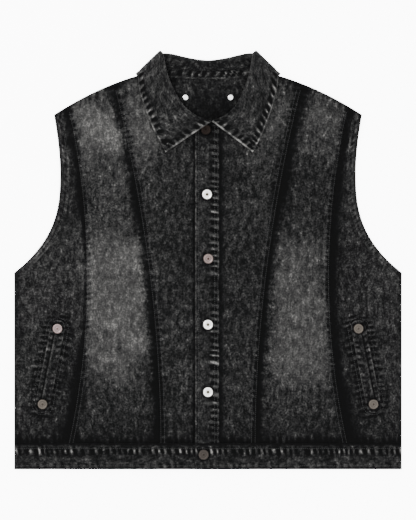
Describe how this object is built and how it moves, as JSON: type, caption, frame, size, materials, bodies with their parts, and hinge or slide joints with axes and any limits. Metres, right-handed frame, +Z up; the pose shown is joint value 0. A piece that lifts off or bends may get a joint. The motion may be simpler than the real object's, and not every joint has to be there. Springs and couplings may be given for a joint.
{
  "type": "denim vest",
  "caption": "Sleeveless washed-black denim vest with a shirt collar, seamed panels, slanted pocket welts and a buttoned front, laid flat on its back.",
  "frame": {"origin": "centre of the garment's outline on the surface it lies on", "axes": "+X towards the wearer's left side (right as seen from above), +Y from the hem to the collar, +Z up from the surface"},
  "size_m": [0.624, 0.6738, 0.0174],
  "materials": {
    "denim": "mottled washed black cotton denim, right side of the twill",
    "denim_dark": "darker washed black cotton denim",
    "button_metal": "worn silver-coloured tack button with a coppery centre",
    "rivet_metal": "bright nickel-coloured rivet",
    "leather": "burnt orange leather, matt"
  },
  "bodies": {
    "root": {"back_centre": "denim", "back_middle_left": "denim", "back_middle_right": "denim", "back_patch": "denim_dark", "back_side_left": "denim_dark", "back_side_right": "denim_dark", "button_1": "button_metal", "button_2": "button_metal", "button_3": "button_metal", "button_4": "button_metal", "button_5": "button_metal", "button_6": "button_metal", "button_band_under": "denim_dark", "collar_fall": "denim", "collar_stand": "denim_dark", "front_centre_left": "denim", "front_centre_right": "denim", "front_middle_left": "denim", "front_middle_right": "denim", "front_side_left": "denim_dark", "front_side_right": "denim_dark", "hem_band_back": "denim", "hem_band_left": "denim", "hem_band_right": "denim", "leather_label": "leather", "placket": "denim", "pocket_button_left_1": "button_metal", "pocket_button_left_2": "button_metal", "pocket_button_right_1": "button_metal", "pocket_button_right_2": "button_metal", "pocket_welt_left": "denim", "pocket_welt_right": "denim", "rivet_1": "rivet_metal", "rivet_2": "rivet_metal", "rivet_3": "rivet_metal", "rivet_4": "rivet_metal"}
  },
  "joints": []
}
